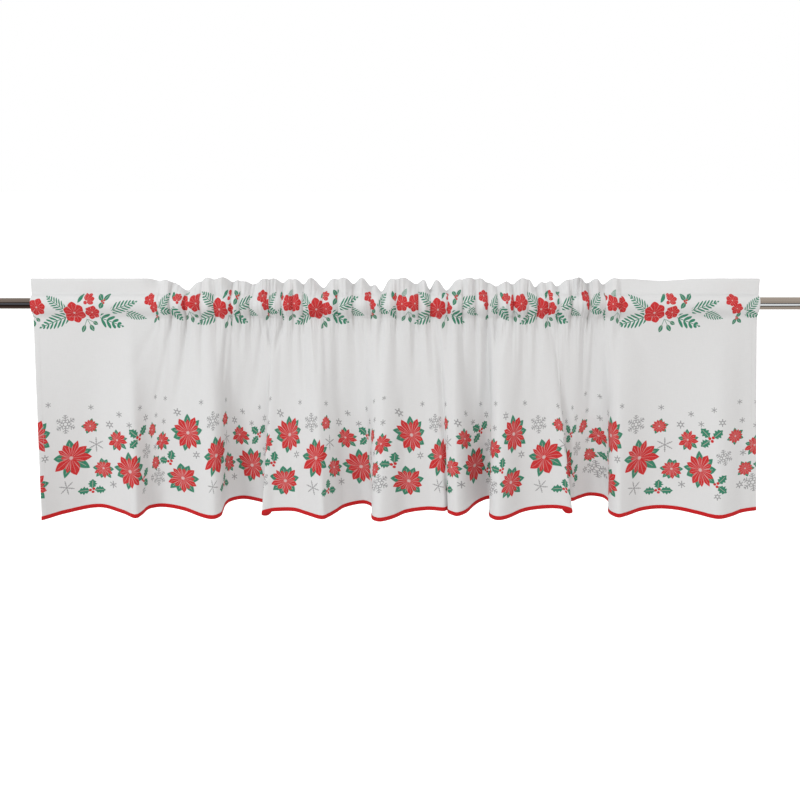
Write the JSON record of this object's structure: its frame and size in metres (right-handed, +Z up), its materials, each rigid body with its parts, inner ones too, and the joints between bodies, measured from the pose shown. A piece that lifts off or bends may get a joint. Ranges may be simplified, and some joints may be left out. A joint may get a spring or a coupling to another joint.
{
  "type": "window valance on a curtain rod",
  "caption": "Short gathered cotton valance with a standing frill, printed borders and a bound wavy hem, on a telescopic rod.",
  "frame": {"origin": "on the rod's axis at the middle of its length", "axes": "+X right along the rod, -Y the side that faces the room, +Z up"},
  "size_m": [1.54, 0.1095, 0.4693],
  "materials": {
    "printed_cotton": "white plain weave with a red, green and grey print",
    "red_binding": "red woven tape",
    "rod_steel": "satin steel tube"
  },
  "bodies": {
    "root": {"valance_cloth": "printed_cotton", "hem_binding": "red_binding", "rod_tube_narrow": "rod_steel", "rod_tube_wide": "rod_steel"}
  },
  "joints": []
}
